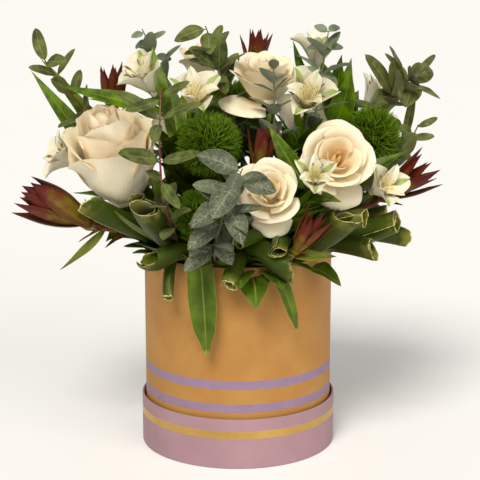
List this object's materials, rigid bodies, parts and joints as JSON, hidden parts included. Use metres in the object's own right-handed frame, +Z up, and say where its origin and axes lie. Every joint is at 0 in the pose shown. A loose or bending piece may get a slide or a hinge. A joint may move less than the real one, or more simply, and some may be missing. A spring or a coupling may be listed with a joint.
{
  "type": "flower arrangement",
  "caption": "Round card box standing in its upturned lid, filled with foam that holds roses, alstroemerias, tufted dianthus, leucadendrons, eucalyptus and rolled leaves.",
  "frame": {"origin": "centre of the lid's underside, which is the face that the arrangement stands on", "axes": "+Z up along the box's axis; -Y towards the shown front of the arrangement; +X to the viewer's right"},
  "size_m": [0.3745, 0.3035, 0.3709],
  "materials": {
    "mustard_card": "card covered with fine linen paper, mustard with two lilac bands",
    "lilac_card": "card covered with smooth lilac paper, with a thin metallic gold stripe",
    "clear_film": "clear film",
    "flower_foam": "dark green open-celled foam",
    "cream_petal": "cream rose petals with peach hearts and fine veins",
    "white_petal": "white petals with green tips and fine speckles",
    "green_stem": "smooth bright green stems and leaves",
    "tufted_green": "fine green spikes",
    "burgundy_bract": "leathery bracts from olive green to burgundy",
    "eucalyptus_green": "matt grey-green leaves on red-brown stems",
    "frosted_green": "grey-green leaves with a white bloom",
    "rolled_green": "strap leaves with pale cut edges"
  },
  "bodies": {
    "root": {"alstroemeria_front": "green_stem", "alstroemeria_front_flower_1": "white_petal", "alstroemeria_front_flower_2": "white_petal", "alstroemeria_left": "green_stem", "alstroemeria_left_flower_1": "white_petal", "alstroemeria_left_flower_2": "white_petal", "alstroemeria_outer": "green_stem", "alstroemeria_outer_flower_1": "white_petal", "alstroemeria_right": "green_stem", "alstroemeria_right_flower_1": "white_petal", "alstroemeria_right_flower_2": "white_petal", "alstroemeria_right_flower_3": "white_petal", "box": "mustard_card", "dianthus_low": "tufted_green", "dianthus_middle": "tufted_green", "dianthus_rear": "tufted_green", "dianthus_right": "tufted_green", "eucalyptus_blue_left": "frosted_green", "eucalyptus_blue_middle": "frosted_green", "eucalyptus_blue_right": "frosted_green", "eucalyptus_crown": "eucalyptus_green", "eucalyptus_edge": "eucalyptus_green", "eucalyptus_frosted": "frosted_green", "eucalyptus_left": "eucalyptus_green", "eucalyptus_rear": "eucalyptus_green", "eucalyptus_right": "eucalyptus_green", "eucalyptus_willow": "eucalyptus_green", "foam": "flower_foam", "leucadendron_back_left": "burgundy_bract", "leucadendron_front": "burgundy_bract", "leucadendron_left": "burgundy_bract", "leucadendron_middle": "burgundy_bract", "leucadendron_rear": "burgundy_bract", "leucadendron_right": "burgundy_bract", "lid": "lilac_card", "liner": "clear_film", "rolled_leaves_centre": "rolled_green", "rolled_leaves_front": "rolled_green", "rolled_leaves_front_left": "rolled_green", "rolled_leaves_front_right": "rolled_green", "rolled_leaves_left": "rolled_green", "rolled_leaves_rear": "rolled_green", "rolled_leaves_right": "rolled_green", "rolled_leaves_side_left": "rolled_green", "rolled_leaves_side_right": "rolled_green", "rose_back_left": "cream_petal", "rose_back_left_stem": "green_stem", "rose_left": "cream_petal", "rose_left_stem": "green_stem", "rose_rear_left": "cream_petal", "rose_rear_left_stem": "green_stem", "rose_rear_right": "cream_petal", "rose_rear_right_stem": "green_stem", "rose_right": "cream_petal", "rose_right_stem": "green_stem", "rose_small": "cream_petal", "rose_small_stem": "green_stem", "rose_top": "cream_petal", "rose_top_stem": "green_stem"}
  },
  "joints": []
}
